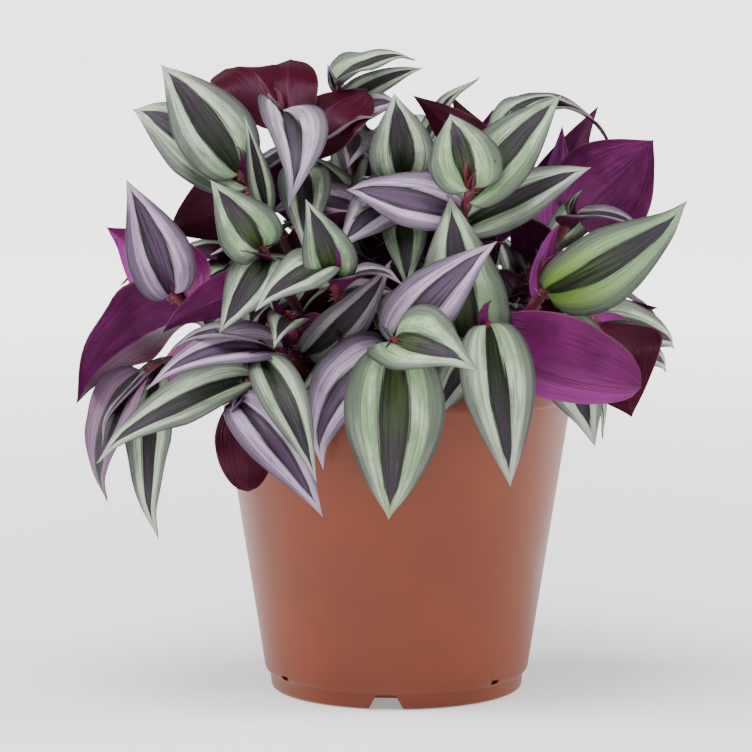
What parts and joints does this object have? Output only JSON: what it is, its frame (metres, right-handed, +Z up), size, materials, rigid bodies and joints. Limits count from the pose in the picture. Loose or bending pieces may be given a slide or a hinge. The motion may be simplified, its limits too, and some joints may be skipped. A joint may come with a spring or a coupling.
{
  "type": "potted tradescantia",
  "caption": "Bushy potted tradescantia with striped silver and purple leaves in a tapered nursery pot with a foot ring and drain notches.",
  "frame": {"origin": "on the ground, under the middle of the whole plant's box; the pot's axis stands 6.0 mm towards +X and 5.3 mm towards +Y of it", "axes": "+Z up, -Y the side that faces the viewer, with a drain notch in the pot's foot, +X to that viewer's right"},
  "size_m": [0.2026, 0.192, 0.2161],
  "materials": {
    "pot_plastic": "satin terracotta-coloured moulded plastic",
    "potting_soil": null,
    "leaf": "satin leaf with silver stripes over green, purple underside"
  },
  "bodies": {
    "root": {"pot": "pot_plastic", "soil": "potting_soil", "leafy_stem_01": "leaf", "leafy_stem_02": "leaf", "leafy_stem_03": "leaf", "leafy_stem_04": "leaf", "leafy_stem_05": "leaf", "leafy_stem_06": "leaf", "leafy_stem_07": "leaf", "leafy_stem_08": "leaf", "leafy_stem_09": "leaf", "leafy_stem_10": "leaf", "leafy_stem_11": "leaf", "leafy_stem_12": "leaf", "leafy_stem_13": "leaf", "leafy_stem_14": "leaf", "leafy_stem_15": "leaf", "leafy_stem_16": "leaf", "leafy_stem_17": "leaf", "leafy_stem_18": "leaf", "leafy_stem_19": "leaf", "leafy_stem_20": "leaf", "leafy_stem_21": "leaf", "leafy_stem_22": "leaf", "leafy_stem_23": "leaf", "leafy_stem_24": "leaf", "leafy_stem_25": "leaf", "leafy_stem_26": "leaf", "leafy_stem_27": "leaf", "leafy_stem_28": "leaf", "leafy_stem_29": "leaf", "leafy_stem_30": "leaf", "leafy_stem_31": "leaf", "leafy_stem_32": "leaf"}
  },
  "joints": []
}
